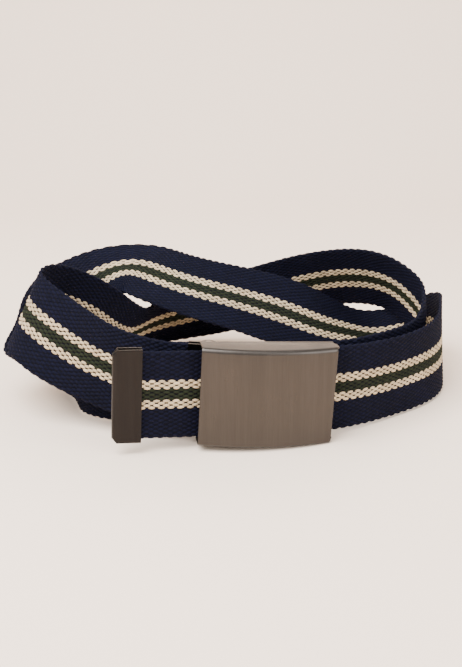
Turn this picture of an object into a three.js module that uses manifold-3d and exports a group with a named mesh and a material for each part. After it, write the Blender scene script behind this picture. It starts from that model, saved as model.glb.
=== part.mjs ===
// Canvas web belt, fastened through its plate buckle and coiled in two turns, standing on its edge.
// Millimetres, +Z up. The buckle faces -Y. The origin is under the middle of the coil.
import * as THREE from 'three';
import { mergeVertices } from 'three/addons/utils/BufferGeometryUtils.js';
import Module from 'manifold-3d';

const wasm = await Module();
wasm.setup();

// The webbing and the coil it lies in
const webWidth = 38;
const webThickness = 1.8;
const coilHalfWidth = 102;
const coilDepth = 140;
const stationSpacing = 4;
const acrossSteps = 4;

// The plate buckle. Its sheet is one folded part: an arched face and two flanges that the webbing
// passes between. It turns and tilts with the route, by slopes in the route's own shares.
const plateLength = 56;
const plateBulge = 4;
const plateSheet = 1.2;
const plateEdgeRound = 0.5;
const flangeSheet = 0.8;
const flangeClearance = 0.7;
const plateHeight = webWidth + 2 * (flangeSheet + flangeClearance);
const flangeDepth = 8;
const flangeEar = 1.6;
const plateArcSteps = 24;
const buckleYaw = Math.atan((0.122 * coilDepth) / coilHalfWidth);
const buckleRise = Math.atan((0.145 * webWidth) / coilHalfWidth);
const buckleCorner = new THREE.Vector3(0.407 * coilHalfWidth, 0, 0);

// The pin at the left end of the buckle, and the clamp that turns on it
const pinRadius = 1.25;
const pinStandout = 0.3;
const pinInset = 4;
const pinSetback = 9.5;
const lugWall = 1.7;
const barrelWall = 1.0;
const clampReach = 3.7;
const jawLength = 5;
const jawSheet = 0.7;

// The bar behind the face that the webbing presses on
const gripBarRadius = 2.2;
const gripBarInset = 5;

// The metal tip folded over the free end
const tipLength = 12;
const tipSheet = 0.7;
const tipOverhang = 1;
const tipChamfer = 2;

// Clearances between touching pieces
const seatGap = 0.3;
const runningGap = 0.35;
const roundSides = 24;

// The route of the webbing's middle line, one row for each fold, from the tip to just past the pin
// that the other end is clamped on, where the webbing is cut short of the pin:
// x in half widths of the coil, y in depths of the coil, the lift of the lower edge in widths of
// the webbing, and the lean of the webbing away from the middle of the coil, in degrees.
const route = [
  { x: -0.461, y: -0.082, lift: 0.158, lean: 0 },
  { x: -0.235, y: -0.050, lift: 0.129, lean: 0 },
  { x: 0.000, y: -0.014, lift: 0.096, lean: 0 },
  { x: 0.235, y: 0.025, lift: 0.063, lean: 0 },
  { x: 0.431, y: 0.068, lift: 0.037, lean: 0 },
  { x: 0.588, y: 0.129, lift: 0.016, lean: 2 },
  { x: 0.745, y: 0.214, lift: 0.005, lean: 2 },
  { x: 0.882, y: 0.314, lift: 0.005, lean: -2 },
  { x: 0.966, y: 0.429, lift: 0.005, lean: -5 },
  { x: 1.000, y: 0.543, lift: 0.005, lean: -3 },
  { x: 1.005, y: 0.650, lift: 0.005, lean: 6 },
  { x: 0.975, y: 0.746, lift: 0.005, lean: 26 },
  { x: 0.873, y: 0.807, lift: 0.005, lean: 53 },
  { x: 0.745, y: 0.814, lift: 0.005, lean: 61 },
  { x: 0.598, y: 0.775, lift: 0.039, lean: 51 },
  { x: 0.451, y: 0.732, lift: 0.118, lean: 40 },
  { x: 0.294, y: 0.711, lift: 0.289, lean: 38 },
  { x: 0.127, y: 0.704, lift: 0.474, lean: 43 },
  { x: -0.039, y: 0.704, lift: 0.645, lean: 50 },
  { x: -0.196, y: 0.721, lift: 0.779, lean: 55 },
  { x: -0.353, y: 0.764, lift: 0.926, lean: 61 },
  { x: -0.490, y: 0.821, lift: 1.000, lean: 64 },
  { x: -0.608, y: 0.818, lift: 0.947, lean: 63 },
  { x: -0.721, y: 0.764, lift: 0.776, lean: 57 },
  { x: -0.814, y: 0.679, lift: 0.539, lean: 47 },
  { x: -0.868, y: 0.575, lift: 0.263, lean: 40 },
  { x: -0.882, y: 0.464, lift: 0.079, lean: 43 },
  { x: -0.887, y: 0.371, lift: 0.012, lean: 50 },
  { x: -0.824, y: 0.299, lift: 0.005, lean: 43 },
  { x: -0.745, y: 0.243, lift: 0.005, lean: 22 },
  { x: -0.647, y: 0.204, lift: 0.005, lean: 5 },
  { x: -0.529, y: 0.171, lift: 0.005, lean: -2 },
  { x: -0.373, y: 0.146, lift: 0.005, lean: 0 },
  { x: -0.147, y: 0.132, lift: 0.005, lean: 0 },
  { x: 0.147, y: 0.129, lift: 0.005, lean: 0 },
  { x: 0.412, y: 0.143, lift: 0.005, lean: 0 },
  { x: 0.569, y: 0.189, lift: 0.005, lean: 0 },
  { x: 0.716, y: 0.271, lift: 0.005, lean: 0 },
  { x: 0.838, y: 0.371, lift: 0.026, lean: 0 },
  { x: 0.907, y: 0.479, lift: 0.132, lean: -4 },
  { x: 0.926, y: 0.593, lift: 0.263, lean: -8 },
  { x: 0.877, y: 0.707, lift: 0.429, lean: -15 },
  { x: 0.784, y: 0.814, lift: 0.561, lean: -24 },
  { x: 0.623, y: 0.904, lift: 0.566, lean: -27 },
  { x: 0.392, y: 0.943, lift: 0.434, lean: -24 },
  { x: 0.157, y: 0.950, lift: 0.232, lean: -20 },
  { x: -0.078, y: 0.936, lift: 0.079, lean: -20 },
  { x: -0.284, y: 0.893, lift: 0.005, lean: -28 },
  { x: -0.426, y: 0.796, lift: 0.005, lean: -33 },
  { x: -0.520, y: 0.700, lift: 0.005, lean: -36 },
  { x: -0.593, y: 0.611, lift: 0.132, lean: -28 },
  { x: -0.676, y: 0.529, lift: 0.382, lean: -19 },
  { x: -0.789, y: 0.446, lift: 0.618, lean: -14 },
  { x: -0.868, y: 0.357, lift: 0.763, lean: -21 },
  { x: -0.892, y: 0.268, lift: 0.776, lean: -26 },
  { x: -0.828, y: 0.196, lift: 0.671, lean: -23 },
  { x: -0.711, y: 0.146, lift: 0.487, lean: -16 },
  { x: -0.569, y: 0.096, lift: 0.316, lean: -6 },
  { x: -0.431, y: 0.054, lift: 0.211, lean: -2 },
  { x: -0.275, y: 0.027, lift: 0.147, lean: 0 },
  { x: -0.143, y: 0.019, lift: 0.121, lean: 0 },
  { x: -0.040, y: 0.012, lift: 0.101, lean: 0 },
];

const webbingMaterial = new THREE.MeshStandardMaterial({ color: 0x1a1f3d, roughness: 0.95, metalness: 0 });
const buckleMaterial = new THREE.MeshStandardMaterial({ color: 0x8c8175, roughness: 0.35, metalness: 0.9 });
const tipMaterial = new THREE.MeshStandardMaterial({ color: 0x5f5751, roughness: 0.4, metalness: 0.85 });
const pinMaterial = new THREE.MeshStandardMaterial({ color: 0xb8b0a6, roughness: 0.25, metalness: 1 });

// The buckle's own frame starts at its lower right corner, which touches the ground.
const buckle = new THREE.Group();
buckle.rotation.set(0, buckleRise, buckleYaw, 'ZYX');
buckle.position.copy(buckleCorner);
buckle.updateMatrixWorld();
const intoBuckle = buckle.matrixWorld.clone().invert();
const pinX = pinInset - plateLength;

function pinDistance(point) {
  const local = point.clone().applyMatrix4(intoBuckle);
  return Math.hypot(local.x - pinX, local.y - pinSetback);
}

// A natural cubic spline through one value per knot.
function naturalSpline(knots, values) {
  const last = knots.length - 1;
  const bend = new Array(last + 1).fill(0);
  const carry = new Array(last + 1).fill(0);
  for (let i = 1; i < last; i += 1) {
    const before = knots[i] - knots[i - 1];
    const after = knots[i + 1] - knots[i];
    const share = before / (before + after);
    const pivot = share * bend[i - 1] + 2;
    const rise = (values[i + 1] - values[i]) / after - (values[i] - values[i - 1]) / before;
    bend[i] = (share - 1) / pivot;
    carry[i] = ((6 * rise) / (before + after) - share * carry[i - 1]) / pivot;
  }
  bend[last] = 0;
  for (let i = last - 1; i > 0; i -= 1) bend[i] = bend[i] * bend[i + 1] + carry[i];
  bend[0] = 0;
  return (at) => {
    let i = knots.findIndex((knot) => knot > at) - 1;
    if (i < 0) i = at <= knots[0] ? 0 : last - 1;
    const span = knots[i + 1] - knots[i];
    const b = (at - knots[i]) / span;
    const a = 1 - b;
    const pull = ((a ** 3 - a) * bend[i] + (b ** 3 - b) * bend[i + 1]) * (span ** 2 / 6);
    return a * values[i] + b * values[i + 1] + pull;
  };
}

// Points of the middle line at equal steps, each with the directions across and through the webbing.
function routeStations() {
  const leans = route.map((row) => THREE.MathUtils.degToRad(row.lean));
  const points = route.map((row, i) => new THREE.Vector3(
    row.x * coilHalfWidth,
    row.y * coilDepth,
    (row.lift + Math.cos(leans[i]) / 2) * webWidth,
  ));
  const knots = [0];
  for (let i = 1; i < points.length; i += 1) {
    knots.push(knots[i - 1] + Math.sqrt(points[i].distanceTo(points[i - 1])));
  }
  const splineOf = (axis) => naturalSpline(knots, points.map((point) => point[axis]));
  const alongX = splineOf('x');
  const alongY = splineOf('y');
  const alongZ = splineOf('z');
  const leanAt = naturalSpline(knots, leans);
  const placeAt = (knot) => new THREE.Vector3(alongX(knot), alongY(knot), alongZ(knot));

  let knotEnd = knots[knots.length - 3];
  while (pinDistance(placeAt(knotEnd)) > clampReach) knotEnd += 0.005;
  const samples = route.length * 40;
  const lengths = [0];
  let previous = placeAt(0);
  for (let i = 1; i <= samples; i += 1) {
    const next = placeAt((knotEnd * i) / samples);
    lengths.push(lengths[i - 1] + next.distanceTo(previous));
    previous = next;
  }
  const strapLength = lengths[samples];
  const count = Math.round(strapLength / stationSpacing);
  const stations = [];
  let sample = 0;
  for (let i = 0; i <= count; i += 1) {
    const wanted = (strapLength * i) / count;
    while (sample < samples - 1 && lengths[sample + 1] < wanted) sample += 1;
    const part = (wanted - lengths[sample]) / (lengths[sample + 1] - lengths[sample]);
    const knot = (knotEnd * (sample + part)) / samples;
    const step = knotEnd / samples / 2;
    const ahead = placeAt(Math.min(knot + step, knotEnd));
    const tangent = ahead.sub(placeAt(Math.max(knot - step, 0))).normalize();
    const upright = new THREE.Vector3(0, 0, 1).addScaledVector(tangent, -tangent.z).normalize();
    const across = upright.clone().applyAxisAngle(tangent, leanAt(knot));
    const through = new THREE.Vector3().crossVectors(tangent, across);
    stations.push({ centre: placeAt(knot), across, through });
  }
  return stations;
}

// The webbing: a flat section carried along the stations and closed at both ends.
function webbingGeometry(stations) {
  const ring = [];
  for (let k = 0; k <= acrossSteps; k += 1) ring.push([k / acrossSteps - 0.5, -0.5]);
  for (let k = acrossSteps; k >= 0; k -= 1) ring.push([k / acrossSteps - 0.5, 0.5]);
  const size = ring.length;
  const positions = [];
  for (const { centre, across, through } of stations) {
    for (const [wide, thick] of ring) {
      const corner = centre.clone();
      corner.addScaledVector(across, wide * webWidth);
      corner.addScaledVector(through, thick * webThickness);
      positions.push(corner.x, corner.y, corner.z);
    }
  }
  const faces = [];
  for (let i = 0; i < stations.length - 1; i += 1) {
    for (let k = 0; k < size; k += 1) {
      const near = i * size + k;
      const nearNext = i * size + ((k + 1) % size);
      faces.push(near, nearNext, near + size, nearNext, nearNext + size, near + size);
    }
  }
  const endRing = (stations.length - 1) * size;
  for (let k = 0; k < acrossSteps; k += 1) {
    const facing = size - 1 - k;
    faces.push(k, facing, k + 1, k + 1, facing, facing - 1);
    faces.push(endRing + k, endRing + k + 1, endRing + facing);
    faces.push(endRing + k + 1, endRing + facing - 1, endRing + facing);
  }
  const geometry = new THREE.BufferGeometry();
  geometry.setAttribute('position', new THREE.Float32BufferAttribute(positions, 3));
  geometry.setIndex(faces);
  return geometry;
}

// A closed geometry as a solid that can be joined and cut.
function toSolid(geometry) {
  const bare = geometry.clone();
  bare.deleteAttribute('normal');
  bare.deleteAttribute('uv');
  const merged = mergeVertices(bare, 1e-5);
  const mesh = new wasm.Mesh({
    numProp: 3,
    vertProperties: new Float32Array(merged.attributes.position.array),
    triVerts: new Uint32Array(merged.index.array),
  });
  return new wasm.Manifold(mesh);
}

function toGeometry(solid) {
  const mesh = solid.getMesh();
  const geometry = new THREE.BufferGeometry();
  geometry.setAttribute('position', new THREE.BufferAttribute(mesh.vertProperties, mesh.numProp));
  geometry.setIndex(new THREE.BufferAttribute(mesh.triVerts, 1));
  return geometry;
}

// A slab with the given outline, from one height to another.
function slab(points, bottom, top, edgeRound = 0) {
  const outline = new THREE.Shape(points.map(([x, y]) => new THREE.Vector2(x, y)));
  const geometry = new THREE.ExtrudeGeometry(outline, {
    depth: top - bottom - 2 * edgeRound,
    bevelEnabled: edgeRound > 0,
    bevelThickness: edgeRound,
    bevelSize: edgeRound,
    bevelOffset: -edgeRound,
    bevelSegments: 3,
  });
  return geometry.translate(0, 0, bottom + edgeRound);
}

function upright(radius, bottom, top, x = 0, y = 0) {
  const geometry = new THREE.CylinderGeometry(radius, radius, top - bottom, roundSides);
  return geometry.rotateX(Math.PI / 2).translate(x, y, (bottom + top) / 2);
}

// Points of the arched face in the buckle's own frame, where x runs back from the right end.
function plateArc(radius, centreY) {
  const points = [];
  for (let i = 0; i <= plateArcSteps; i += 1) {
    const x = -plateLength + (plateLength * i) / plateArcSteps;
    const fromMiddle = x + plateLength / 2;
    points.push([x, centreY - Math.sqrt(radius ** 2 - fromMiddle ** 2)]);
  }
  return points;
}

const plateRadius = ((plateLength / 2) ** 2 + plateBulge ** 2) / (2 * plateBulge);
const plateCentreY = plateRadius - plateBulge;
const boreRadius = pinRadius + runningGap;

// The folded sheet of the buckle: the arched face, the two flanges with ears at the right end, and
// a round lug at the left end of each flange that carries the pin.
function buckleBody() {
  const front = plateArc(plateRadius, plateCentreY);
  const back = plateArc(plateRadius - plateSheet, plateCentreY).reverse();
  const lugRadius = boreRadius + lugWall;
  const flange = [
    ...plateArc(plateRadius - plateSheet / 2, plateCentreY),
    [flangeEar, plateSheet + flangeEar],
    [flangeEar, flangeDepth - flangeEar],
    [0, flangeDepth],
    [pinX + lugRadius, flangeDepth],
    [pinX, pinSetback],
    [pinX - lugRadius, pinSetback],
  ];
  let body = toSolid(slab([...front, ...back], 0, plateHeight, plateEdgeRound));
  for (const bottom of [0, plateHeight - flangeSheet]) {
    const top = bottom + flangeSheet;
    body = body.add(toSolid(slab(flange, bottom, top)));
    body = body.add(toSolid(upright(lugRadius, bottom, top, pinX, pinSetback)));
  }
  return body.subtract(toSolid(upright(boreRadius, -1, plateHeight + 1, pinX, pinSetback)));
}

// The clamp: a barrel on the pin, and two jaws on the clamped end of the webbing. The lower end of
// the barrel stands just over the lower lug.
function endClamp(strapEnd, strapAngle) {
  const bottom = flangeSheet + seatGap;
  const top = plateHeight - flangeSheet - seatGap;
  const barrelRadius = boreRadius + barrelWall;
  const jawHalf = webThickness / 2 + seatGap + jawSheet;
  const slotHalf = webThickness / 2 + seatGap;
  const place = (geometry) => geometry.rotateZ(strapAngle).translate(strapEnd.x, strapEnd.y, 0);
  const far = -jawLength;
  const jaws = [[far, -jawHalf], [clampReach, -jawHalf], [clampReach, jawHalf], [far, jawHalf]];
  const open = far - 1;
  const slot = [[open, -slotHalf], [seatGap, -slotHalf], [seatGap, slotHalf], [open, slotHalf]];
  return toSolid(place(slab(jaws, bottom, top)))
    .add(toSolid(upright(barrelRadius, bottom, top, pinX, pinSetback)))
    .subtract(toSolid(place(slab(slot, 0, plateHeight))))
    .subtract(toSolid(upright(boreRadius, -1, plateHeight + 1, pinX, pinSetback)));
}

// The tip: one sheet folded round the free end, with its outer corners cut off.
function beltTip() {
  const left = -tipSheet - seatGap;
  const right = tipLength + left;
  const bottom = -tipOverhang;
  const top = webWidth + tipOverhang;
  const half = webThickness / 2 + seatGap + tipSheet;
  const outline = [
    [left + tipChamfer, bottom],
    [right, bottom],
    [right, top],
    [left + tipChamfer, top],
    [left, top - tipChamfer],
    [left, bottom + tipChamfer],
  ];
  const cover = slab(outline, -half, half, plateEdgeRound / 2);
  cover.rotateX(Math.PI / 2);
  const slotHalf = webThickness / 2 + seatGap;
  const slot = [[-seatGap, -slotHalf], [right + 1, -slotHalf], [right + 1, slotHalf], [-seatGap, slotHalf]];
  return toSolid(cover).subtract(toSolid(slab(slot, bottom - 1, top + 1)));
}

function piece(name, geometry, material) {
  const mesh = new THREE.Mesh(geometry, material);
  mesh.name = name;
  return mesh;
}

const belt = new THREE.Group();
const stations = routeStations();
belt.add(piece('webbing_strap', webbingGeometry(stations), webbingMaterial));

// The tip sits on the first station, square to the webbing.
const firstStation = stations[0];
const tip = piece('belt_tip', toGeometry(beltTip()), tipMaterial);
const alongTip = stations[2].centre.clone().sub(firstStation.centre).normalize();
const tipAxes = new THREE.Matrix4().makeBasis(
  alongTip,
  new THREE.Vector3().crossVectors(firstStation.across, alongTip),
  firstStation.across,
);
tip.quaternion.setFromRotationMatrix(tipAxes);
tip.position.copy(firstStation.centre).addScaledVector(firstStation.across, -webWidth / 2);
belt.add(tip);

const lastStation = stations[stations.length - 1];
const clampedEnd = lastStation.centre.clone().applyMatrix4(intoBuckle);
const beforeEnd = stations[stations.length - 3].centre.clone().applyMatrix4(intoBuckle);
const clampedAngle = Math.atan2(clampedEnd.y - beforeEnd.y, clampedEnd.x - beforeEnd.x);
const clampedPoint = new THREE.Vector2(clampedEnd.x, clampedEnd.y);
buckle.add(piece('buckle_body', toGeometry(buckleBody()), buckleMaterial));
buckle.add(piece('end_clamp', toGeometry(endClamp(clampedPoint, clampedAngle)), tipMaterial));
const pin = upright(pinRadius, -pinStandout, plateHeight + pinStandout, pinX, pinSetback);
buckle.add(piece('hinge_pin', pin, pinMaterial));

// The grip bar stands between the flanges, just in front of the webbing.
const gripBarX = -gripBarInset;
const alongBuckle = stations.map(({ centre }) => centre.clone().applyMatrix4(intoBuckle));
const nearBar = alongBuckle.slice(0, Math.round(stations.length / 4))
  .reduce((best, p) => (Math.abs(p.x - gripBarX) < Math.abs(best.x - gripBarX) ? p : best));
const gripBarY = nearBar.y - webThickness / 2 - seatGap - gripBarRadius;
const gripBarSpan = [flangeSheet + seatGap, plateHeight - flangeSheet - seatGap];
buckle.add(piece('grip_bar', upright(gripBarRadius, ...gripBarSpan, gripBarX, gripBarY), pinMaterial));
belt.add(buckle);

// The origin goes under the middle of the coil, at its lowest point.
const bounds = new THREE.Box3().setFromObject(belt, true);
const middle = bounds.getCenter(new THREE.Vector3());
belt.position.set(-middle.x, -middle.y, -bounds.min.z);

export default belt;
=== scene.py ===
"""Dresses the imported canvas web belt: woven webbing, plate buckle, tip, stage and camera."""
import functools
import math

import bpy
import numpy as np
from bpy.props import FloatProperty, FloatVectorProperty, IntProperty, PointerProperty
from mathutils import Euler, Matrix, Vector


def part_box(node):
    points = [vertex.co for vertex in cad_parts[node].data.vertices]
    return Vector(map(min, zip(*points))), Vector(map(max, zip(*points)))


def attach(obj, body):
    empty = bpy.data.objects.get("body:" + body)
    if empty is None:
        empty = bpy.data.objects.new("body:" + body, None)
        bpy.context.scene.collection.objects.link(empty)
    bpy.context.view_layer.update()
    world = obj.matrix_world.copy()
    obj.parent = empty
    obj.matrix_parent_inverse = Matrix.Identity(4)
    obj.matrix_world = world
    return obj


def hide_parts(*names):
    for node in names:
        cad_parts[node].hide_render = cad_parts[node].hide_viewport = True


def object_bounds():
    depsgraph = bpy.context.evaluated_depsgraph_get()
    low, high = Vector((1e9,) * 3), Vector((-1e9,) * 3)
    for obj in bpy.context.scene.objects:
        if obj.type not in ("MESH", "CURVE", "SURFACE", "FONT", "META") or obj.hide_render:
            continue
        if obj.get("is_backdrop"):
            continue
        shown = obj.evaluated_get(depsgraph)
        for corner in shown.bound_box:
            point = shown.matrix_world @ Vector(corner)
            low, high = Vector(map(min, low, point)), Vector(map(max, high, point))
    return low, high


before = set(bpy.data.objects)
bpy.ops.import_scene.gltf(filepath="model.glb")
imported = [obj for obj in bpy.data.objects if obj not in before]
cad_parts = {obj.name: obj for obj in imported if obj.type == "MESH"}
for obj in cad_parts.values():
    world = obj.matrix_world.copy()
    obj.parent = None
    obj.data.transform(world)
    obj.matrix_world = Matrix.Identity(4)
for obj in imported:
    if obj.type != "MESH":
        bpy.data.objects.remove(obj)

bl_info = {
    "name": "Canvas web belt",
    "version": (1, 0, 0),
    "blender": (4, 5, 0),
    "location": "View3D > Sidebar > Belt",
    "description": "Woven webbing, plate buckle and studio for the packed belt",
    "category": "Object",
}

# The route of the webbing's middle line, as the solid was made, from the tip to just past the pin:
# x in half widths of the coil, y in depths of the coil, lift of the lower edge in widths of the
# webbing, lean outwards in degrees.
ROUTE = [
    (-0.461, -0.082, 0.158, 0),
    (-0.235, -0.050, 0.129, 0),
    (0.000, -0.014, 0.096, 0),
    (0.235, 0.025, 0.063, 0),
    (0.431, 0.068, 0.037, 0),
    (0.588, 0.129, 0.016, 2),
    (0.745, 0.214, 0.005, 2),
    (0.882, 0.314, 0.005, -2),
    (0.966, 0.429, 0.005, -5),
    (1.000, 0.543, 0.005, -3),
    (1.005, 0.650, 0.005, 6),
    (0.975, 0.746, 0.005, 26),
    (0.873, 0.807, 0.005, 53),
    (0.745, 0.814, 0.005, 61),
    (0.598, 0.775, 0.039, 51),
    (0.451, 0.732, 0.118, 40),
    (0.294, 0.711, 0.289, 38),
    (0.127, 0.704, 0.474, 43),
    (-0.039, 0.704, 0.645, 50),
    (-0.196, 0.721, 0.779, 55),
    (-0.353, 0.764, 0.926, 61),
    (-0.490, 0.821, 1.000, 64),
    (-0.608, 0.818, 0.947, 63),
    (-0.721, 0.764, 0.776, 57),
    (-0.814, 0.679, 0.539, 47),
    (-0.868, 0.575, 0.263, 40),
    (-0.882, 0.464, 0.079, 43),
    (-0.887, 0.371, 0.012, 50),
    (-0.824, 0.299, 0.005, 43),
    (-0.745, 0.243, 0.005, 22),
    (-0.647, 0.204, 0.005, 5),
    (-0.529, 0.171, 0.005, -2),
    (-0.373, 0.146, 0.005, 0),
    (-0.147, 0.132, 0.005, 0),
    (0.147, 0.129, 0.005, 0),
    (0.412, 0.143, 0.005, 0),
    (0.569, 0.189, 0.005, 0),
    (0.716, 0.271, 0.005, 0),
    (0.838, 0.371, 0.026, 0),
    (0.907, 0.479, 0.132, -4),
    (0.926, 0.593, 0.263, -8),
    (0.877, 0.707, 0.429, -15),
    (0.784, 0.814, 0.561, -24),
    (0.623, 0.904, 0.566, -27),
    (0.392, 0.943, 0.434, -24),
    (0.157, 0.950, 0.232, -20),
    (-0.078, 0.936, 0.079, -20),
    (-0.284, 0.893, 0.005, -28),
    (-0.426, 0.796, 0.005, -33),
    (-0.520, 0.700, 0.005, -36),
    (-0.593, 0.611, 0.132, -28),
    (-0.676, 0.529, 0.382, -19),
    (-0.789, 0.446, 0.618, -14),
    (-0.868, 0.357, 0.763, -21),
    (-0.892, 0.268, 0.776, -26),
    (-0.828, 0.196, 0.671, -23),
    (-0.711, 0.146, 0.487, -16),
    (-0.569, 0.096, 0.316, -6),
    (-0.431, 0.054, 0.211, -2),
    (-0.275, 0.027, 0.147, 0),
    (-0.143, 0.019, 0.121, 0),
    (-0.040, 0.012, 0.101, 0),
]

# Lengths are in metres
MILLI = 0.001

# How finely the shapes are cut
PATH_SAMPLES = 6001
SEAT_SAMPLES = 271
SIDE_STEPS = 8
EDGE_STEPS = 4
FOLD_STEPS = 6
FACE_STEPS = 6
CASE_COLUMNS = 48
LUG_OUTER_POINTS = 40
LUG_INNER_POINTS = 28
TIP_BEND_STEPS = 8
TIP_LEVELS = 9
BACKDROP_STEPS = 12

# One float: its sides, and the reach and the height of its rings in shares of its size
FLOAT_SIDES = 8
FLOAT_RINGS = ((0.62, 0.80), (1.0, -0.12))

# How much one float differs from the next, in shares of its size
SIZE_SPREAD = 0.035
RISE_SPREAD = 0.06
SKEW_SPREAD = 0.05

# How far the edge of the webbing waves, and how far the sharp edges of the sheets are rounded
EDGE_WAVE = 0.05 * MILLI
CASE_BEVEL = 0.22 * MILLI
EDGE_BEVEL = 0.18 * MILLI

# The slot that opens a lug, and how far along the strap the direction of the tip is read
LUG_SLOT = math.radians(16)
TIP_AIM = 8 * MILLI

# The floor and the backdrop
FLOOR_FRONT = 1.5
FLOOR_BACK = 0.45
FLOOR_HALF_WIDTH = 2.2
BACKDROP_RADIUS = 0.35
BACKDROP_HEIGHT = 2.4


def metres(name, text, value):
    """A length in metres."""
    return FloatProperty(name=name, description=text, default=value, unit="LENGTH")


def colour(name, text, value):
    """A linear colour."""
    return FloatVectorProperty(
        name=name, description=text, default=value, size=4, subtype="COLOR", min=0, max=1)


class BeltWebbing(bpy.types.PropertyGroup):
    """Sizes of the webbing and of the coil it lies in."""
    width: metres("Width", "Width of the webbing", 0.038)
    solid: metres("Solid thickness", "Thickness of the packed solid", 0.0018)
    ground: metres("Ground thickness", "Thickness under the yarns", 0.0011)
    coil_half_width: metres("Coil half width", "Half the coil's width", 0.102)
    coil_depth: metres("Coil depth", "Depth of the coil", 0.140)
    pitch: metres("Float pitch", "Distance from one float of a yarn to its next", 0.004)
    row: metres("Row spacing", "Distance from one yarn to the next", 0.00094)
    float_length: metres("Float length", "Length of one float", 0.0031)
    float_width: metres("Float width", "Width of one float", 0.00142)
    float_rise: metres("Float rise", "Height of a float over the ground", 0.00042)
    cream_rows: IntProperty(name="Cream rows", description="Yarns in each cream line", default=4)
    olive_rows: IntProperty(name="Olive rows", description="Yarns between the cream lines", default=5)


class BeltBuckle(bpy.types.PropertyGroup):
    """Sizes of the buckle's folded sheet and of the tip."""
    length: metres("Length", "Length of the face", 0.056)
    clearance: metres("Flange clearance", "Gap between webbing and flange", 0.0007)
    bulge: metres("Bulge", "Rise of the arched face", 0.004)
    sheet: metres("Sheet", "Thickness of the folded sheet", 0.0008)
    fold: metres("Fold radius", "Radius of the folded rims", 0.0013)
    flange: metres("Flange", "Depth of the flanges", 0.008)
    ear: metres("Ear", "How far the ears stand out", 0.0016)
    turn: FloatProperty(
        name="Turn", description="Slope across the coil, in coil depths for each half width",
        default=0.122)
    tilt: FloatProperty(
        name="Tilt", description="Slope upwards, in webbing widths for each half width",
        default=0.145)
    corner: FloatProperty(
        name="Corner", description="Lower right corner along the coil, in half widths",
        default=0.407)
    reach: metres("Clamp reach", "Pin to the clamped end of the webbing", 0.0037)
    pin_inset: metres("Pin inset", "Pin's distance from the left end", 0.004)
    pin_setback: metres("Pin setback", "Pin's distance behind the face", 0.0095)
    lug_radius: metres("Lug radius", "Radius of the lugs", 0.0033)
    bore_radius: metres("Bore radius", "Radius of the holes in the lugs", 0.0016)
    tip_length: metres("Tip length", "Length of the tip", 0.012)
    tip_sheet: metres("Tip sheet", "Thickness of the tip's sheet", 0.0007)
    tip_over: metres("Tip overhang", "Tip's reach past the edges", 0.001)
    tip_chamfer: metres("Tip chamfer", "Cut of the tip's corners", 0.002)
    seat: metres("Seat gap", "Gap round the seated webbing", 0.0003)


class BeltColours(bpy.types.PropertyGroup):
    """Linear colours of the yarns and metals."""
    navy: colour("Navy", "Navy yarn", (0.0028, 0.0032, 0.0110, 1))
    cream: colour("Cream", "Cream yarn", (0.46, 0.36, 0.235, 1))
    olive: colour("Olive", "Olive yarn", (0.013, 0.016, 0.009, 1))
    # The ground's near-black colour is painted shade. It darkens the gaps between the floats, under the
    # cream and olive stripes too, to stand in for the shadow in them.
    ground: colour("Ground", "Weft in the gaps between yarns", (0.003, 0.003, 0.006, 1))
    face: colour("Face", "Brushed face of the buckle", (0.060, 0.053, 0.048, 1))
    tip: colour("Tip", "Satin tip and clamp", (0.020, 0.018, 0.0175, 1))
    steel: colour("Steel", "Turned pins", (0.22, 0.20, 0.185, 1))
    floor: colour("Floor", "Table and backdrop", (0.96, 0.80, 0.67, 1))


class BeltStage(bpy.types.PropertyGroup):
    """Camera and light."""
    elevation: FloatProperty(
        name="Elevation", description="Angle the camera looks down", subtype="ANGLE",
        default=math.radians(18))
    distance: metres("Distance", "Camera to aim", 0.400)
    aim_height: metres("Aim height", "Height of the aim", 0.0478)
    lens: FloatProperty(name="Lens", description="Focal length for a 36 mm wide frame", default=76.75)
    key: FloatProperty(name="Key light", description="Power of the key light", default=20.0)
    fill: FloatProperty(name="Fill light", description="Power of the fill light", default=7.0)


class BeltSettings(bpy.types.PropertyGroup):
    """All settings of the belt."""
    webbing: PointerProperty(type=BeltWebbing)
    buckle: PointerProperty(type=BeltBuckle)
    colours: PointerProperty(type=BeltColours)
    stage: PointerProperty(type=BeltStage)


def settings():
    """The belt's settings in this scene."""
    return bpy.context.scene.web_belt


# The route

def natural_spline(knots, values):
    """A natural cubic spline through rows of values, as a function of knot positions."""
    knots = np.asarray(knots, float)
    values = np.asarray(values, float)
    count = len(knots)
    spans = np.diff(knots)
    system = np.zeros((count, count))
    known = np.zeros_like(values)
    system[0, 0] = system[-1, -1] = 1
    for i in range(1, count - 1):
        system[i, i - 1:i + 2] = spans[i - 1], 2 * (spans[i - 1] + spans[i]), spans[i]
        slope_after = (values[i + 1] - values[i]) / spans[i]
        slope_before = (values[i] - values[i - 1]) / spans[i - 1]
        known[i] = 6 * (slope_after - slope_before)
    bend = np.linalg.solve(system, known)

    def at(places):
        """The rows of values at these places."""
        places = np.asarray(places, float)
        i = np.clip(np.searchsorted(knots, places, side="right") - 1, 0, count - 2)
        shape = (-1,) + (1,) * (values.ndim - 1)
        span = spans[i].reshape(shape)
        b = (places.reshape(shape) - knots[i].reshape(shape)) / span
        a = 1 - b
        pull = ((a ** 3 - a) * bend[i] + (b ** 3 - b) * bend[i + 1]) * span ** 2 / 6
        return a * values[i] + b * values[i + 1] + pull

    return at


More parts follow.
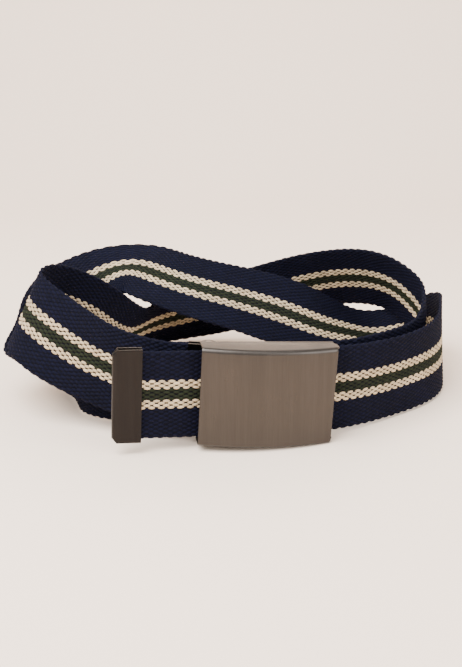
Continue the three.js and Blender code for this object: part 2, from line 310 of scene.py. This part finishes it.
class Strap:
    """The webbing's middle line with its directions across and through, by distance along it."""

    def __init__(self):
        sizes = settings().webbing
        rows = np.array(ROUTE, float)
        leans = np.radians(rows[:, 3])
        points = np.column_stack([
            rows[:, 0] * sizes.coil_half_width,
            rows[:, 1] * sizes.coil_depth,
            (rows[:, 2] + np.cos(leans) / 2) * sizes.width,
        ])
        chords = np.linalg.norm(np.diff(points, axis=0), axis=1)
        knots = np.concatenate([[0], np.cumsum(np.sqrt(chords / MILLI))])
        place = natural_spline(knots, points)
        lean = natural_spline(knots, leans)
        fine = np.linspace(0, knots[-1], PATH_SAMPLES)
        path = place(fine)
        steps = np.linalg.norm(np.diff(path, axis=0), axis=1)
        along = np.concatenate([[0], np.cumsum(steps)])
        tangent = np.gradient(path, along, axis=0)
        tangent /= np.linalg.norm(tangent, axis=1)[:, None]
        up = np.array([0, 0, 1.0]) - tangent * tangent[:, 2:]
        up /= np.linalg.norm(up, axis=1)[:, None]
        side = np.cross(tangent, up)
        turn = lean(fine)[:, None]
        across = up * np.cos(turn) + side * np.sin(turn)
        self.length = along[self.last_before_pin(path)]
        self.along = along
        self.table = np.hstack([path, across, tangent])
        self.shift = np.zeros(3)

    def last_before_pin(self, path):
        """The place on the path where the webbing ends, short of the pin it is clamped on."""
        sizes = settings().buckle
        into = np.array(buckle_turn().inverted().to_3x3())
        corner = np.array([sizes.corner * settings().webbing.coil_half_width, 0, 0])
        local = (path - corner) @ into.T
        pin_x = sizes.pin_inset - sizes.length
        from_pin = np.hypot(local[:, 0] - pin_x, local[:, 1] - sizes.pin_setback)
        near = np.flatnonzero(from_pin <= sizes.reach)
        last_quarter = len(path) * 3 // 4
        return near[near > last_quarter][0]

    def at(self, distance):
        """Middle points, directions across and directions through, at these distances."""
        distance = np.asarray(distance, float)
        found = np.stack([np.interp(distance, self.along, column) for column in self.table.T], -1)
        middle, across, tangent = found[..., :3], found[..., 3:6], found[..., 6:]
        across = across / np.linalg.norm(across, axis=-1, keepdims=True)
        through = np.cross(tangent, across)
        through /= np.linalg.norm(through, axis=-1, keepdims=True)
        return middle + self.shift, across, through

    def seat_in_frame(self):
        """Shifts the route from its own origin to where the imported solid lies."""
        sizes = settings().webbing
        low, high = (np.array(corner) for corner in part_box("webbing_strap"))
        middle, across, through = self.at(np.linspace(0, self.length, SEAT_SAMPLES))
        corners = np.concatenate([
            middle + across * sizes.width * wide + through * sizes.solid * thick
            for wide in (-0.5, 0.5) for thick in (-0.5, 0.5)
        ])
        self.shift = (low + high) / 2 - (corners.min(0) + corners.max(0)) / 2
        self.shift[2] = low[2] - corners[:, 2].min()


@functools.cache
def strap():
    """The strap, worked out once."""
    made = Strap()
    made.seat_in_frame()
    return made


# Meshes

def new_piece(name, vertices, faces, material, smooth=True):
    """An object with a mesh of these points and faces."""
    mesh = bpy.data.meshes.new(name)
    mesh.from_pydata([tuple(v) for v in vertices], [], [tuple(f) for f in faces])
    mesh.validate()
    mesh.update()
    piece = bpy.data.objects.new(name, mesh)
    bpy.context.scene.collection.objects.link(piece)
    mesh.materials.append(material)
    if smooth:
        mesh.polygons.foreach_set("use_smooth", [True] * len(mesh.polygons))
    return piece


def section_point(place, width, thickness):
    """Offsets across and through, and the outward direction, round a flat section with round edges."""
    radius = thickness / 2
    flat = width - thickness
    bend = math.pi * radius
    total = 2 * (flat + bend)
    place = np.mod(place, total)
    across = np.zeros_like(place)
    through = np.zeros_like(place)
    out_across = np.zeros_like(place)
    out_through = np.zeros_like(place)
    front = place < flat
    across[front] = place[front] - flat / 2
    through[front] = radius
    out_through[front] = 1
    top = (place >= flat) & (place < flat + bend)
    angle = (place[top] - flat) / radius
    out_across[top] = np.sin(angle)
    out_through[top] = np.cos(angle)
    back = (place >= flat + bend) & (place < 2 * flat + bend)
    across[back] = flat / 2 - (place[back] - flat - bend)
    through[back] = -radius
    out_through[back] = -1
    bottom = place >= 2 * flat + bend
    angle = (place[bottom] - 2 * flat - bend) / radius
    out_across[bottom] = -np.sin(angle)
    out_through[bottom] = -np.cos(angle)
    across[top] = flat / 2 + radius * out_across[top]
    across[bottom] = -flat / 2 + radius * out_across[bottom]
    through[top] = radius * out_through[top]
    through[bottom] = radius * out_through[bottom]
    return across, through, out_across, out_through, total


def wrap(distance, place, rise, width, thickness):
    """Points on the webbing's skin, by distance along, place round the section and rise over it."""
    middle, across, through = strap().at(distance)
    wide, thick, out_wide, out_thick, _ = section_point(place, width, thickness)
    wide = wide + out_wide * rise
    thick = thick + out_thick * rise
    return middle + across * wide[..., None] + through * thick[..., None]


def ground_mesh(material):
    """The webbing under its yarns: a flat section with round, slightly waved edges."""
    sizes = settings().webbing
    width = sizes.width - 2 * sizes.float_rise
    flat = width - sizes.ground
    bend = math.pi * sizes.ground / 2
    side_places = np.linspace(0, flat, SIDE_STEPS, endpoint=False)
    edge_places = flat + np.linspace(0, bend, EDGE_STEPS, endpoint=False)
    half_place = np.concatenate([side_places, edge_places])
    place = np.concatenate([half_place, half_place + flat + bend])
    around = len(place)
    stations = int(round(strap().length / (sizes.pitch / 2)))
    distance = np.linspace(0, strap().length, stations + 1)
    grid_d, grid_p = np.meshgrid(distance, place, indexing="ij")
    wide = section_point(grid_p.ravel(), width, sizes.ground)[2]
    half_turns = np.round(grid_d.ravel() / (sizes.pitch / 2))
    wave = EDGE_WAVE * np.cos(math.pi * half_turns) * np.abs(wide)
    points = wrap(grid_d.ravel(), grid_p.ravel(), wave, width, sizes.ground)
    faces = []
    for i in range(stations):
        for k in range(around):
            near = i * around + k
            beside = i * around + (k + 1) % around
            faces.append((near, near + around, beside + around, beside))
    faces.append(tuple(range(around)))
    faces.append(tuple(stations * around + k for k in reversed(range(around))))
    return new_piece("webbing_ground_painted_shade", points, faces, material)


def float_template():
    """One float: a low oval dome, as offsets along, round and out in shares of its size."""
    sides = FLOAT_SIDES
    points = [(0, 0, 1)]
    for ring, height in FLOAT_RINGS:
        for k in range(sides):
            angle = 2 * math.pi * k / sides
            points.append((ring * math.cos(angle), ring * math.sin(angle), height))
    faces = []
    for k in range(sides):
        beside = (k + 1) % sides
        faces.append((0, 1 + k, 1 + beside))
        faces.append((1 + k, 1 + sides + k, 1 + sides + beside, 1 + beside))
    return np.array(points), faces


def yarn_rows():
    """Places of the yarn rows round the section, and the stripe that each belongs to."""
    sizes = settings().webbing
    width = sizes.width - 2 * sizes.float_rise
    flat = width - sizes.ground
    total = section_point(np.zeros(1), width, sizes.ground)[4]
    count = 2 * int(round(total / sizes.row / 2))
    places = (np.arange(count) + 0.5) * total / count
    wide = section_point(places, width, sizes.ground)[0]
    half_olive = (sizes.olive_rows / 2) * sizes.row
    half_stripe = half_olive + sizes.cream_rows * sizes.row
    stripes = np.where(np.abs(wide) < half_stripe, "cream", "navy")
    stripes[np.abs(wide) < half_olive] = "olive"
    front = places < flat + (total / 2 - flat) / 2
    return places, stripes, front, width


def float_piece(name, places, parities, width, material, seed):
    """All floats of some yarn rows, as one mesh, with a random tone for each."""
    sizes = settings().webbing
    template, template_faces = float_template()
    count = int(strap().length / sizes.pitch)
    margin = (strap().length - count * sizes.pitch) / 2
    starts = margin + sizes.pitch * (np.arange(count) + 0.25)
    centre_d = (starts[None, :] + parities[:, None] * sizes.pitch / 2).ravel()
    centre_p = np.repeat(places, count)
    rng = np.random.default_rng(seed)
    floats = len(centre_d)
    length = sizes.float_length / 2 * rng.normal(1, SIZE_SPREAD, floats)
    broad = sizes.float_width / 2 * rng.normal(1, SIZE_SPREAD, floats)
    rise = sizes.float_rise * rng.normal(1, RISE_SPREAD, floats)
    skew = rng.normal(0, SKEW_SPREAD, floats)
    along = centre_d[:, None] + template[None, :, 0] * length[:, None]
    around = (centre_p[:, None] + template[None, :, 1] * broad[:, None]
              + template[None, :, 0] * length[:, None] * skew[:, None])
    out = template[None, :, 2] * rise[:, None]
    along = np.clip(along, 0, strap().length)
    points = wrap(along.ravel(), around.ravel(), out.ravel(), width, sizes.ground)
    step = len(template)
    faces = []
    for k in range(floats):
        base = k * step
        faces.extend(tuple(base + i for i in face) for face in template_faces)
    piece = new_piece(name, points, faces, material)
    tones = np.repeat(rng.uniform(0, 1, floats), step)
    attribute = piece.data.attributes.new("yarn", "FLOAT", "POINT")
    attribute.data.foreach_set("value", tones.astype(np.float32))
    return piece


# Shader groups

def group_tree(name, inputs, outputs):
    """A shader group with named sockets, with its input and output nodes."""
    tree = bpy.data.node_groups.new(name, "ShaderNodeTree")
    for socket, kind, default in inputs:
        made = tree.interface.new_socket(socket, in_out="INPUT", socket_type=kind)
        if default is not None:
            made.default_value = default
    for socket, kind in outputs:
        tree.interface.new_socket(socket, in_out="OUTPUT", socket_type=kind)
    return tree, tree.nodes.new("NodeGroupInput"), tree.nodes.new("NodeGroupOutput")


def node(tree, kind, **values):
    """A new node with some of its settings."""
    made = tree.nodes.new(kind)
    for key, value in values.items():
        setattr(made, key, value)
    return made


def ramp(tree, source, low, high, from_low=0.0, from_high=1.0):
    """A value remapped from one range to another."""
    made = node(tree, "ShaderNodeMapRange")
    made.inputs["From Min"].default_value = from_low
    made.inputs["From Max"].default_value = from_high
    made.inputs["To Min"].default_value = low
    made.inputs["To Max"].default_value = high
    tree.links.new(source, made.inputs["Value"])
    return made.outputs["Result"]


def noise(tree, vector, scale, detail=3.0, roughness=0.55):
    """Noise over the surface."""
    made = node(tree, "ShaderNodeTexNoise")
    made.inputs["Scale"].default_value = scale
    made.inputs["Detail"].default_value = detail
    made.inputs["Roughness"].default_value = roughness
    tree.links.new(vector, made.inputs["Vector"])
    return made.outputs["Fac"]


def multiply(tree, a, b):
    """The product of two values."""
    made = node(tree, "ShaderNodeMath", operation="MULTIPLY")
    tree.links.new(a, made.inputs[0])
    tree.links.new(b, made.inputs[1])
    return made.outputs[0]


def shade(tree, tint, factor):
    """A colour made lighter or darker by a factor."""
    made = node(tree, "ShaderNodeVectorMath", operation="SCALE")
    tree.links.new(tint, made.inputs[0])
    tree.links.new(factor, made.inputs["Scale"])
    return made.outputs["Vector"]


@functools.cache
def yarn_group():
    """Tone of cotton yarn: a shade for each float, soiling in patches, and fine fibres."""
    tree, source, sink = group_tree(
        "Yarn tone",
        [("Colour", "NodeSocketColor", None), ("Spread", "NodeSocketFloat", 0.3)],
        [("Colour", "NodeSocketColor"), ("Normal", "NodeSocketVector")])
    place = node(tree, "ShaderNodeTexCoord").outputs["Object"]
    yarn = node(tree, "ShaderNodeAttribute", attribute_name="yarn").outputs["Fac"]
    per_float = ramp(tree, yarn, 0.82, 1.16)
    patches = ramp(tree, noise(tree, place, 60.0), 0.88, 1.12, 0.3, 0.7)
    fibres = noise(tree, place, 2600.0, 2.0)
    streaks = ramp(tree, fibres, 0.80, 1.18, 0.25, 0.75)
    factor = multiply(tree, multiply(tree, per_float, patches), streaks)
    tree.links.new(shade(tree, source.outputs["Colour"], factor), sink.inputs["Colour"])
    bump = node(tree, "ShaderNodeBump")
    bump.inputs["Distance"].default_value = 0.0001
    tree.links.new(source.outputs["Spread"], bump.inputs["Strength"])
    tree.links.new(fibres, bump.inputs["Height"])
    tree.links.new(bump.outputs["Normal"], sink.inputs["Normal"])
    return tree


@functools.cache
def brushed_group():
    """Brushed or satin metal: fine upright scratches and faint handling marks."""
    tree, source, sink = group_tree(
        "Brushed grain",
        [("Colour", "NodeSocketColor", None), ("Depth", "NodeSocketFloat", 0.2)],
        [("Colour", "NodeSocketColor"), ("Roughness", "NodeSocketFloat"),
         ("Normal", "NodeSocketVector")])
    place = node(tree, "ShaderNodeTexCoord").outputs["Object"]
    stretch = node(tree, "ShaderNodeMapping")
    stretch.inputs["Scale"].default_value = (1.0, 1.0, 0.02)
    tree.links.new(place, stretch.inputs["Vector"])
    scratches = noise(tree, stretch.outputs["Vector"], 5200.0, 4.0, 0.6)
    broad = noise(tree, stretch.outputs["Vector"], 420.0, 2.0)
    marks = noise(tree, place, 90.0, 4.0)
    fine_tone = ramp(tree, scratches, 0.90, 1.10, 0.25, 0.75)
    broad_tone = ramp(tree, broad, 0.94, 1.06, 0.3, 0.7)
    tone = multiply(tree, fine_tone, broad_tone)
    tree.links.new(shade(tree, source.outputs["Colour"], tone), sink.inputs["Colour"])
    rough = node(tree, "ShaderNodeMath", operation="ADD")
    tree.links.new(ramp(tree, scratches, 0.26, 0.42, 0.25, 0.75), rough.inputs[0])
    tree.links.new(ramp(tree, marks, -0.03, 0.08, 0.35, 0.75), rough.inputs[1])
    tree.links.new(rough.outputs[0], sink.inputs["Roughness"])
    bump = node(tree, "ShaderNodeBump")
    bump.inputs["Distance"].default_value = 0.00003
    tree.links.new(source.outputs["Depth"], bump.inputs["Strength"])
    tree.links.new(scratches, bump.inputs["Height"])
    tree.links.new(bump.outputs["Normal"], sink.inputs["Normal"])
    return tree


def new_material(name):
    """A material with its node tree and its surface shader."""
    material = bpy.data.materials.new(name)
    material.use_nodes = True
    shader = material.node_tree.nodes["Principled BSDF"]
    return material, material.node_tree, shader


def yarn_material(name, tint, spread=0.35):
    """Matt cotton yarn."""
    material, tree, shader = new_material(name)
    made = node(tree, "ShaderNodeGroup", node_tree=yarn_group())
    made.inputs["Colour"].default_value = tint
    made.inputs["Spread"].default_value = spread
    tree.links.new(made.outputs["Colour"], shader.inputs["Base Color"])
    tree.links.new(made.outputs["Normal"], shader.inputs["Normal"])
    shader.inputs["Roughness"].default_value = 0.88
    shader.inputs["Specular IOR Level"].default_value = 0.1
    return material


def metal_material(name, tint, depth=0.25, anisotropy=0.0):
    """Brushed or satin metal."""
    material, tree, shader = new_material(name)
    made = node(tree, "ShaderNodeGroup", node_tree=brushed_group())
    made.inputs["Colour"].default_value = tint
    made.inputs["Depth"].default_value = depth
    tree.links.new(made.outputs["Colour"], shader.inputs["Base Color"])
    tree.links.new(made.outputs["Roughness"], shader.inputs["Roughness"])
    tree.links.new(made.outputs["Normal"], shader.inputs["Normal"])
    shader.inputs["Metallic"].default_value = 1.0
    shader.inputs["Anisotropic"].default_value = anisotropy
    return material


# Buckle and tip

def buckle_turn():
    """How the buckle stands: turned and tilted with the route."""
    sizes = settings().buckle
    webbing = settings().webbing
    yaw = math.atan(sizes.turn * webbing.coil_depth / webbing.coil_half_width)
    rise = math.atan(sizes.tilt * webbing.width / webbing.coil_half_width)
    return Matrix.Rotation(yaw, 4, "Z") @ Matrix.Rotation(rise, 4, "Y")


def buckle_matrix():
    """From the buckle's own frame, which starts at its lower right corner, to the part's."""
    corner = Vector((settings().buckle.corner * settings().webbing.coil_half_width, 0, 0))
    return Matrix.Translation(corner + Vector(strap().shift)) @ buckle_turn()


def plate_height():
    """Height of the face: the webbing between both flanges and their clearances."""
    sizes = settings().buckle
    return settings().webbing.width + 2 * (sizes.sheet + sizes.clearance)


def face_setback(x, radius, centre):
    """The arched face's y at a place along the buckle: 0 at both ends, minus the bulge between."""
    half = settings().buckle.length / 2
    return centre - math.sqrt(radius ** 2 - (x + half) ** 2)


def case_profile(front):
    """The sheet's outer line at one place: from the lower flange's back, up the face, to the upper's."""
    sizes = settings().buckle
    height = plate_height()
    line = [(sizes.flange, 0.0), ((front + sizes.fold + sizes.flange) / 2, 0.0)]
    for k in range(FOLD_STEPS + 1):
        angle = math.pi / 2 * k / FOLD_STEPS
        line.append((front + sizes.fold * (1 - math.sin(angle)), sizes.fold * (1 - math.cos(angle))))
    for k in range(1, FACE_STEPS):
        line.append((front, sizes.fold + (height - 2 * sizes.fold) * k / FACE_STEPS))
    for k in range(FOLD_STEPS + 1):
        angle = math.pi / 2 * k / FOLD_STEPS
        line.append((front + sizes.fold * (1 - math.cos(angle)),
                     height - sizes.fold * (1 - math.sin(angle))))
    line.append(((front + sizes.fold + sizes.flange) / 2, height))
    line.append((sizes.flange, height))
    return line


def add_modifier(piece, kind, **values):
    """Adds a modifier with some of its settings."""
    made = piece.modifiers.new(kind.title(), kind)
    for key, value in values.items():
        setattr(made, key, value)


def soften_edges(piece, width, sharp=40):
    """Bevels the edges that are sharper than an angle in degrees."""
    limit = math.radians(sharp)
    add_modifier(piece, "BEVEL", width=width, segments=2, limit_method="ANGLE", angle_limit=limit)


def apply_modifiers(piece):
    """Replaces a piece's mesh by what its modifiers make of it."""
    depsgraph = bpy.context.evaluated_depsgraph_get()
    mesh = bpy.data.meshes.new_from_object(piece.evaluated_get(depsgraph))
    piece.modifiers.clear()
    piece.data = mesh


def join(pieces, name):
    """Joins pieces into one object."""
    bpy.ops.object.select_all(action="DESELECT")
    for piece in pieces:
        piece.select_set(True)
    bpy.context.view_layer.objects.active = pieces[0]
    bpy.ops.object.join()
    joined = bpy.context.view_layer.objects.active
    joined.name = name
    joined.select_set(False)
    return joined


def strip_faces(rows, row):
    """Faces of an open grid of points, row by row."""
    faces = []
    for i in range(rows - 1):
        for k in range(row - 1):
            near = i * row + k
            faces.append((near, near + 1, near + row + 1, near + row))
    return faces


def case_shell(material):
    """The arched face folded back into both flanges."""
    sizes = settings().buckle
    half = sizes.length / 2
    radius = (half ** 2 + sizes.bulge ** 2) / (2 * sizes.bulge)
    centre = radius - sizes.bulge
    points = []
    for i in range(CASE_COLUMNS + 1):
        x = -sizes.length + sizes.length * i / CASE_COLUMNS
        for y, z in case_profile(face_setback(x, radius, centre)):
            points.append((x, y, z))
    row = len(points) // (CASE_COLUMNS + 1)
    shell_faces = strip_faces(CASE_COLUMNS + 1, row)
    shell = new_piece("buckle_case", points, shell_faces, material)
    add_modifier(shell, "SOLIDIFY", thickness=sizes.sheet, offset=-1.0, use_even_offset=True)
    soften_edges(shell, CASE_BEVEL)
    return shell


def plate_from_outline(name, outline, bottom, top, material):
    """A flat plate with softened edges, from its outline."""
    count = len(outline)
    points = [(x, y, bottom) for x, y in outline] + [(x, y, top) for x, y in outline]
    faces = [tuple(reversed(range(count))), tuple(range(count, 2 * count))]
    for k in range(count):
        beside = (k + 1) % count
        faces.append((k, beside, beside + count, k + count))
    plate = new_piece(name, points, faces, material, smooth=False)
    soften_edges(plate, EDGE_BEVEL)
    return plate


def arc(x, y, radius, angles):
    """Points round a centre, at these angles."""
    return [(x + radius * math.cos(angle), y + radius * math.sin(angle)) for angle in angles]


def lug_outline():
    """A round lug open to the left by a narrow slot into its hole, seen from above."""
    sizes = settings().buckle
    pin_x = sizes.pin_inset - sizes.length
    pin_y = sizes.pin_setback
    outer = np.linspace(math.pi + LUG_SLOT / 2, 3 * math.pi - LUG_SLOT / 2, LUG_OUTER_POINTS)
    inner = np.linspace(3 * math.pi - LUG_SLOT, math.pi + LUG_SLOT, LUG_INNER_POINTS)
    return arc(pin_x, pin_y, sizes.lug_radius, outer) + arc(pin_x, pin_y, sizes.bore_radius, inner)


def ear_outline():
    """The ear at a flange's right end, rooted one millimetre inside the flange."""
    sizes = settings().buckle
    root = -1.0 * MILLI
    return [
        (root, 2.2 * MILLI),
        (sizes.ear - 0.6 * MILLI, 2.4 * MILLI),
        (sizes.ear, 3.0 * MILLI),
        (sizes.ear, 6.6 * MILLI),
        (sizes.ear - 0.8 * MILLI, 7.6 * MILLI),
        (root, sizes.flange),
    ]


def neck_outline():
    """The neck from a flange to its lug."""
    sizes = settings().buckle
    pin_x = sizes.pin_inset - sizes.length
    inner = sizes.flange - 1.2 * MILLI
    outer = sizes.flange + 0.2 * MILLI
    return [
        (-sizes.length + 0.8 * MILLI, inner),
        (pin_x + 3.0 * MILLI, inner),
        (pin_x + 2.6 * MILLI, outer),
        (pin_x - 2.8 * MILLI, outer),
    ]


def buckle_case(material):
    """The whole folded sheet of the buckle, with its ears and its lugs."""
    sizes = settings().buckle
    parts = [case_shell(material)]
    for level in (0.0, plate_height() - sizes.sheet):
        outlines = {"lug": lug_outline(), "ear": ear_outline(), "neck": neck_outline()}
        for name, outline in outlines.items():
            parts.append(plate_from_outline(name, outline, level, level + sizes.sheet, material))
    for part in parts:
        apply_modifiers(part)
    case = join(parts, "buckle_case")
    case.data.transform(buckle_matrix())
    case.data.update()
    return case


def tip_matrix():
    """From the tip's own frame, at the free end's lower corner, to the part's."""
    middle, across, _ = strap().at(np.array([0.0, TIP_AIM]))
    along = Vector(middle[1] - middle[0]).normalized()
    up = Vector(across[0])
    back = up.cross(along)
    turn = Matrix((along, back, up)).transposed().to_4x4()
    foot = Vector(middle[0]) - up * settings().webbing.width / 2
    return Matrix.Translation(foot) @ turn


def belt_tip(material):
    """One sheet folded round the free end, with its outer corners cut off."""
    sizes = settings().buckle
    webbing = settings().webbing
    half = webbing.solid / 2 + sizes.seat + sizes.tip_sheet
    left = -sizes.tip_sheet - sizes.seat
    right = left + sizes.tip_length
    bend = []
    for k in range(TIP_BEND_STEPS + 1):
        angle = math.pi / 2 + math.pi * k / TIP_BEND_STEPS
        bend.append((left + half + half * math.cos(angle), half * math.sin(angle)))
    outer = [(right, half), (right * 0.66, half), (right * 0.33, half)] + bend
    outer += [(right * 0.33, -half), (right * 0.66, -half), (right, -half)]
    bottom = -sizes.tip_over
    top = webbing.width + sizes.tip_over
    levels = [bottom, bottom + sizes.tip_chamfer * 0.5, bottom + sizes.tip_chamfer]
    levels += list(np.linspace(bottom + sizes.tip_chamfer * 2, top - sizes.tip_chamfer * 2, TIP_LEVELS))
    levels += [top - sizes.tip_chamfer, top - sizes.tip_chamfer * 0.5, top]
    points = []
    for level in levels:
        short = max(sizes.tip_chamfer - min(level - bottom, top - level), 0)
        for x, y in outer:
            points.append((max(x, left + short), y, level))
    tip = new_piece("tip_cover", points, strip_faces(len(levels), len(outer)), material)
    add_modifier(tip, "SOLIDIFY", thickness=sizes.tip_sheet, offset=-1.0, use_even_offset=False)
    soften_edges(tip, EDGE_BEVEL, sharp=45)
    apply_modifiers(tip)
    tip.data.transform(tip_matrix())
    tip.data.update()
    return tip


# Stage

def floor_profile():
    """The floor, then the backdrop that rises from it in a round bend, seen from the side."""
    profile = [(-FLOOR_FRONT, 0.0), (FLOOR_BACK, 0.0)]
    for k in range(1, BACKDROP_STEPS + 1):
        angle = math.pi / 2 * k / BACKDROP_STEPS
        rise = BACKDROP_RADIUS * (1 - math.cos(angle))
        profile.append((FLOOR_BACK + BACKDROP_RADIUS * math.sin(angle), rise))
    profile.append((FLOOR_BACK + BACKDROP_RADIUS, BACKDROP_HEIGHT))
    return profile


def area_light(name, place, target, width, power):
    """A square light at a place, turned to a target."""
    data = bpy.data.lights.new(name, "AREA")
    data.shape = "SQUARE"
    data.size = width
    data.energy = power
    light = bpy.data.objects.new(name, data)
    bpy.context.scene.collection.objects.link(light)
    light.location = place
    light.rotation_euler = (Vector(target) - Vector(place)).to_track_quat("-Z", "Y").to_euler()


# Operators

class BELT_OT_webbing(bpy.types.Operator):
    """Weave the webbing: its ground and the floats of its navy, cream and olive yarns"""
    bl_idname = "belt.webbing"
    bl_label = "Weave webbing"

    def execute(self, context):
        colours = settings().colours
        # The ground's material carries painted shade for the gaps between the floats.
        ground = ground_mesh(yarn_material("webbing_ground_painted_shade", colours.ground, 0.2))
        places, stripes, front, width = yarn_rows()
        parities = np.arange(len(places)) % 2
        pieces = []
        jobs = [
            ("navy_yarns_outer", (stripes == "navy") & front, colours.navy, 11),
            ("navy_yarns_inner", (stripes == "navy") & ~front, colours.navy, 12),
            ("cream_yarns", stripes == "cream", colours.cream, 13),
            ("olive_yarns", stripes == "olive", colours.olive, 14),
        ]
        for name, chosen, tint, seed in jobs:
            material = yarn_material(name, tint)
            pieces.append(float_piece(name, places[chosen], parities[chosen], width, material, seed))
        for piece in [ground] + pieces:
            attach(piece, "root")
        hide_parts("webbing_strap")
        strap().length
        return {"FINISHED"}


class BELT_OT_buckle(bpy.types.Operator):
    """Fold the buckle's face, flanges, ears and lugs"""
    bl_idname = "belt.buckle"
    bl_label = "Fold buckle"

    def execute(self, context):
        case = buckle_case(metal_material("buckle_face", settings().colours.face, 0.3, 0.4))
        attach(case, "root")
        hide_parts("buckle_body")
        return {"FINISHED"}


class BELT_OT_tip(bpy.types.Operator):
    """Fold the metal tip over the free end"""
    bl_idname = "belt.tip"
    bl_label = "Fold tip"

    def execute(self, context):
        tip = belt_tip(metal_material("tip_satin", settings().colours.tip, 0.25, 0.2))
        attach(tip, "root")
        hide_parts("belt_tip")
        return {"FINISHED"}


class BELT_OT_fittings(bpy.types.Operator):
    """Finish the clamp, the pin and the grip bar"""
    bl_idname = "belt.fittings"
    bl_label = "Finish fittings"

    def execute(self, context):
        colours = settings().colours
        finishes = {
            "end_clamp": metal_material("clamp_satin", colours.tip, 0.25),
            "hinge_pin": metal_material("pin_steel", colours.steel, 0.15),
            "grip_bar": metal_material("bar_steel", colours.steel, 0.15),
        }
        for name, material in finishes.items():
            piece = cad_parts[name]
            for slot in piece.material_slots:
                slot.material = material
        return {"FINISHED"}


class BELT_OT_stage(bpy.types.Operator):
    """Set the floor, the backdrop, the lights and the camera"""
    bl_idname = "belt.stage"
    bl_label = "Set stage"

    def execute(self, context):
        stage = settings().stage
        material, _, shader = new_material("floor")
        shader.inputs["Base Color"].default_value = settings().colours.floor
        shader.inputs["Roughness"].default_value = 0.85
        shader.inputs["Specular IOR Level"].default_value = 0.2
        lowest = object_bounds()[0][2]
        profile = floor_profile()
        half = FLOOR_HALF_WIDTH
        points = [(side * half, y, z + lowest) for y, z in profile for side in (-1, 1)]
        faces = [(2 * k, 2 * k + 1, 2 * k + 3, 2 * k + 2) for k in range(len(profile) - 1)]
        floor = new_piece("floor", points, faces, material)
        floor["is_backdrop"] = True

        world = bpy.data.worlds.new("studio")
        bpy.context.scene.world = world
        world.use_nodes = True
        background = world.node_tree.nodes["Background"]
        background.inputs["Color"].default_value = (1.0, 0.965, 0.925, 1)
        background.inputs["Strength"].default_value = 1.35
        area_light("key", (-0.35, -0.35, 0.75), (0, 0, 0.02), width=0.7, power=stage.key)
        area_light("fill", (0.75, -0.55, 0.45), (0, 0, 0.03), width=0.6, power=stage.fill)
        area_light("rim", (0.1, 0.75, 0.7), (0, 0, 0.03), width=0.6, power=stage.fill * 0.6)

        camera_data = bpy.data.cameras.new("camera")
        camera = bpy.data.objects.new("camera", camera_data)
        bpy.context.scene.collection.objects.link(camera)
        camera_data.sensor_fit = "HORIZONTAL"
        camera_data.sensor_width = 36.0
        camera_data.lens = stage.lens
        camera_data.clip_start = 0.01
        shift = Vector(strap().shift)
        camera.location = shift + Vector((
            0, -stage.distance * math.cos(stage.elevation),
            stage.aim_height + stage.distance * math.sin(stage.elevation)))
        camera.rotation_euler = Euler((math.pi / 2 - stage.elevation, 0, 0))
        bpy.context.scene.camera = camera
        return {"FINISHED"}


class BELT_PT_panel(bpy.types.Panel):
    """Buttons that build the belt"""
    bl_idname = "BELT_PT_panel"
    bl_label = "Canvas web belt"
    bl_space_type = "VIEW_3D"
    bl_region_type = "UI"
    bl_category = "Belt"

    def draw(self, context):
        for operator in OPERATORS:
            self.layout.operator(operator.bl_idname)
        for group in (settings().webbing, settings().buckle, settings().colours, settings().stage):
            for name in group.__annotations__:
                self.layout.prop(group, name)


OPERATORS = (BELT_OT_stage, BELT_OT_webbing, BELT_OT_buckle, BELT_OT_tip, BELT_OT_fittings)
CLASSES = (BeltWebbing, BeltBuckle, BeltColours, BeltStage, BeltSettings, BELT_PT_panel) + OPERATORS


def register():
    """Registers the classes and the belt's settings."""
    for entry in CLASSES:
        bpy.utils.register_class(entry)
    bpy.types.Scene.web_belt = PointerProperty(type=BeltSettings)


def unregister():
    """Takes the classes and the settings away again."""
    del bpy.types.Scene.web_belt
    for entry in reversed(CLASSES):
        bpy.utils.unregister_class(entry)


def main():
    """Builds the stage and every piece."""
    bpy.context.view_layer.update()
    register()
    bpy.ops.belt.stage()
    bpy.ops.belt.webbing()
    bpy.ops.belt.buckle()
    bpy.ops.belt.tip()
    bpy.ops.belt.fittings()


if __name__ == "__main__":
    main()
